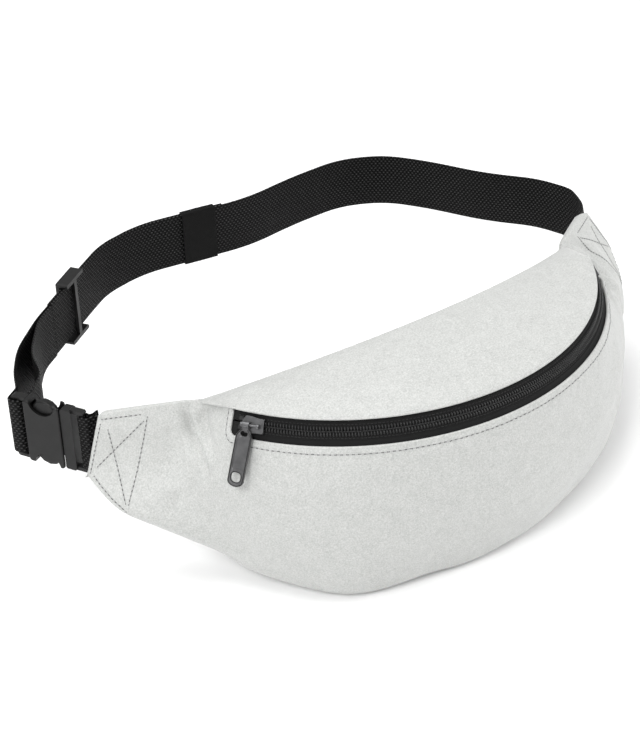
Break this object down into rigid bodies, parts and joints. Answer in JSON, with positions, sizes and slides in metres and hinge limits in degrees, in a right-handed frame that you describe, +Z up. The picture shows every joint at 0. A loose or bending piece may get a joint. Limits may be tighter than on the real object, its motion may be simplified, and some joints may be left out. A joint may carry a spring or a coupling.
{
  "type": "waist belt bag",
  "caption": "Half-round fabric waist pouch with a curved zip across its top front, on an adjustable webbing belt with a side-release buckle, a strap adjuster and a tail keeper",
  "frame": {"origin": "centre of the flat patch under the pouch that the bag rests on", "axes": "+Z up; the pouch's front faces -Y; +X runs along the pouch, from the buckle's side to the side where the belt is sewn in"},
  "size_m": [0.4246, 0.3338, 0.1375],
  "materials": {
    "pouch_fabric": "light grey reflective woven fabric with a fine speckle",
    "binding_tape": "black bias binding tape",
    "zip_tape": "black herringbone zip tape",
    "zip_coil": "black nylon coil",
    "zip_metal": "gunmetal, satin",
    "belt_webbing": "black coarse polypropylene webbing",
    "keeper_elastic": "black fine-ribbed elastic",
    "buckle_plastic": "black moulded acetal, satin"
  },
  "bodies": {
    "root": {"front_panel": "pouch_fabric", "top_panel": "pouch_fabric", "back_panel": "pouch_fabric", "top_seam_binding": "binding_tape", "bottom_seam_binding": "binding_tape", "zip_tape_upper": "zip_tape", "zip_tape_lower": "zip_tape", "zip_coil_upper": "zip_coil", "zip_coil_lower": "zip_coil", "zip_top_stops": "zip_coil", "zip_bottom_stop": "zip_metal", "waist_strap": "belt_webbing", "strap_tail": "belt_webbing", "buckle_webbing_tab": "belt_webbing", "buckle_male_frame": "buckle_plastic"},
    "slider": {"zip_slider_body": "zip_metal", "zip_slider_bail": "zip_metal"},
    "puller": {"zip_puller": "zip_metal"},
    "female_half": {"buckle_female": "buckle_plastic", "strap_loop": "belt_webbing"},
    "upper_prong": {"upper_release_prong": "buckle_plastic"},
    "lower_prong": {"lower_release_prong": "buckle_plastic"},
    "glide": {"tri_glide": "buckle_plastic"},
    "keeper": {"keeper_loop": "keeper_elastic"}
  },
  "joints": [
    {"name": "zip_travel", "type": "hinge", "parent": "root", "child": "slider", "pos_m": [0, 0.1006, 0.1116], "axis": [0, 0.0541, 0.9985], "range_deg": [0, 112], "deforming": ["zip_coil_upper", "zip_coil_lower"]},
    {"name": "puller_swing", "type": "hinge", "parent": "slider", "child": "puller", "pos_m": [-0.13321, 0.02195, 0.11846], "axis": [0.5284, -0.8477, 0.0459], "range_deg": [-160, 0]},
    {"name": "buckle_release", "type": "slide", "parent": "root", "child": "female_half", "axis": [-0.5, 0.866, 0], "range_m": [0, 0.03], "deforming": ["strap_loop"]},
    {"name": "upper_prong_squeeze", "type": "hinge", "parent": "root", "child": "upper_prong", "pos_m": [-0.19975, 0.12026, 0.0925], "axis": [0.866, 0.5, 0], "range_deg": [-6, 0], "stiffness_Nm_per_rad": 0.05},
    {"name": "lower_prong_squeeze", "type": "hinge", "parent": "root", "child": "lower_prong", "pos_m": [-0.19975, 0.12026, 0.0745], "axis": [0.866, 0.5, 0], "range_deg": [0, 6], "stiffness_Nm_per_rad": 0.05},
    {"name": "strap_adjust", "type": "slide", "parent": "root", "child": "glide", "axis": [-0.8181, -0.5751, 0], "range_m": [-0.008, 0.008]},
    {"name": "keeper_travel", "type": "slide", "parent": "root", "child": "keeper", "axis": [-0.9858, 0.1681, 0], "range_m": [-0.006, 0.013]}
  ]
}
